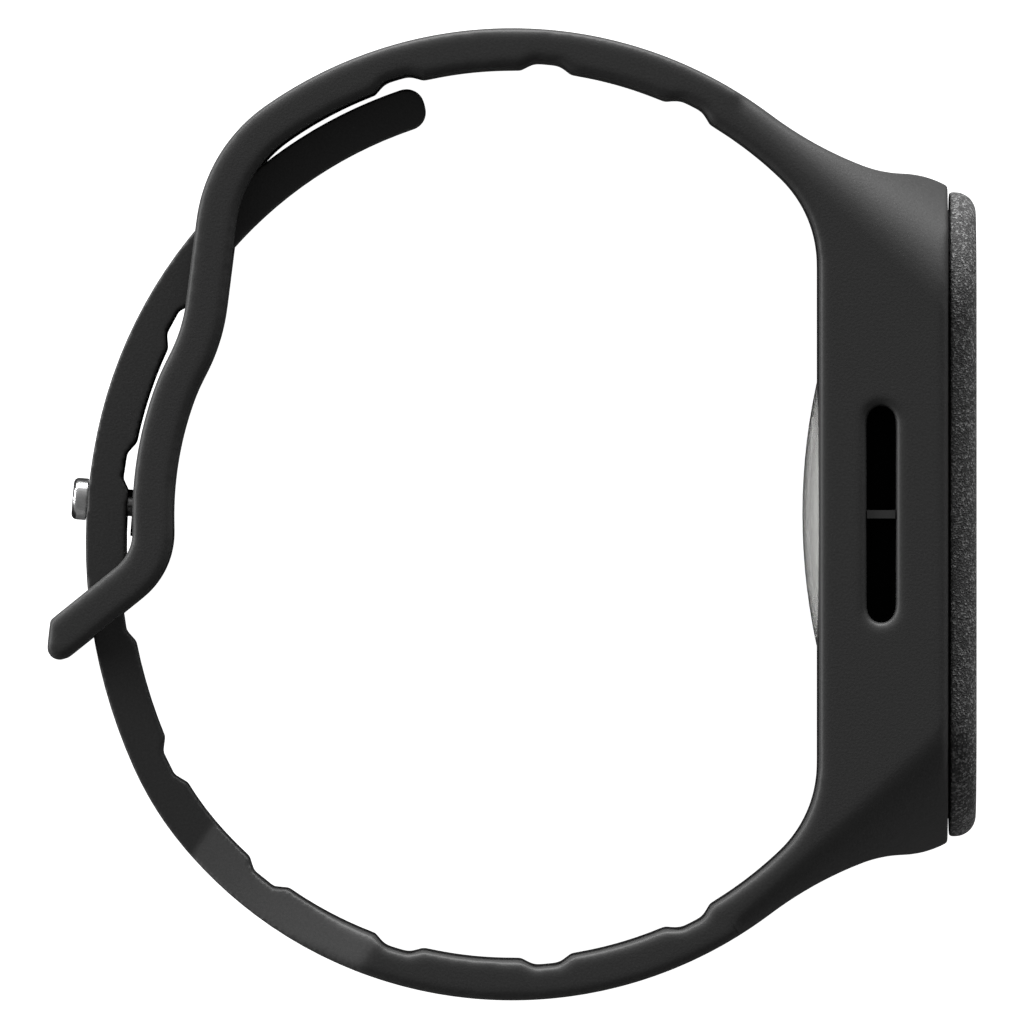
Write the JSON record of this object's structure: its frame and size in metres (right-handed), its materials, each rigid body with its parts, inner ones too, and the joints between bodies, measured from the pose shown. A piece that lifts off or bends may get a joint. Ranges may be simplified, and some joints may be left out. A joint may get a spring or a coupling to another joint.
{
  "type": "fitness tracker band",
  "caption": "Closed black silicone wrist band with a screenless tracker pod in a moulded cradle, a tuck-through tail and a metal stud closure.",
  "frame": {"origin": "middle of the case's resting side face, on the plane that the band lies on", "axes": "+X out through the case's front, +Y along the case towards the upper strap, +Z across the band, from the resting side up"},
  "size_m": [0.0619, 0.0648, 0.024],
  "materials": {
    "silicone": "matt soft-touch black silicone, fine grain",
    "polished_steel": "turned and polished steel",
    "hard_black": "fine-textured black plastic",
    "mesh_black": "fine black woven mesh",
    "front_textile": "fine heathered charcoal knit",
    "seal_rubber": "dull black seal",
    "gloss_black": "smooth black plastic",
    "gold_contact": "gold-plated contact",
    "smoke_lens": "clear smoke-tinted polycarbonate",
    "barrier_black": "dull black light baffle",
    "led_green": "clear resin over a green emitter",
    "led_clear": "clear resin over an infrared emitter",
    "diode_dark": "dark sensor die under clear resin",
    "board_green": "green solder mask",
    "connector_cream": "cream connector plastic",
    "screw_steel": "machined steel",
    "chip_black": "moulded chip package",
    "can_steel": "drawn steel can",
    "battery_foil": "laminated aluminium pouch",
    "foam_grey": "soft grey foam",
    "antenna_copper": "copper film on amber carrier",
    "weight_grey": "sintered heavy metal"
  },
  "bodies": {
    "band": {"cradle_shell": "silicone", "upper_strap": "silicone", "lower_strap": "silicone", "closure_stud": "polished_steel", "stud_base_plate": "hard_black", "port_insert": "hard_black", "port_mesh": "mesh_black"},
    "keeper": {"keeper_loop": "silicone"},
    "tail": {"strap_tail": "silicone"},
    "pod": {"pod_chassis": "hard_black", "front_carrier": "hard_black", "front_fabric": "front_textile", "cover_gasket": "seal_rubber", "back_cover": "gloss_black", "back_seal": "seal_rubber", "charging_contacts": "gold_contact", "sensor_dome": "smoke_lens", "optical_barrier": "barrier_black", "green_leds": "led_green", "infrared_leds": "led_clear", "photodiodes": "diode_dark", "sensor_board": "board_green", "board_connector": "connector_cream", "main_board": "board_green", "board_screws": "screw_steel", "processor": "chip_black", "radio_module": "can_steel", "motion_sensor": "chip_black", "microphone": "can_steel", "battery_cell": "battery_foil", "battery_foam": "foam_grey", "antenna": "antenna_copper", "motor_can": "can_steel", "motor_base": "board_green", "motor_shaft": "screw_steel"},
    "rotor": {"motor_weight": "weight_grey"}
  },
  "joints": [
    {"name": "pod_pull", "type": "slide", "parent": "band", "child": "pod", "axis": [1, 0, 0], "range_m": [0, 0.014]},
    {"name": "keeper_flex", "type": "hinge", "parent": "band", "child": "keeper", "pos_m": [-0.05001, -0.00112, 0.012], "axis": [0, 0, -1], "range_deg": [0, 20], "stiffness_Nm_per_rad": 0.05},
    {"name": "tail_flex", "type": "hinge", "parent": "band", "child": "tail", "pos_m": [-0.04348, 0.01765, 0.012], "axis": [0, 0, -1], "range_deg": [0, 30], "stiffness_Nm_per_rad": 0.03},
    {"name": "rotor_spin", "type": "hinge", "parent": "pod", "child": "rotor", "pos_m": [0.001, 0.014, 0.012], "axis": [1, 0, 0], "continuous": true}
  ]
}
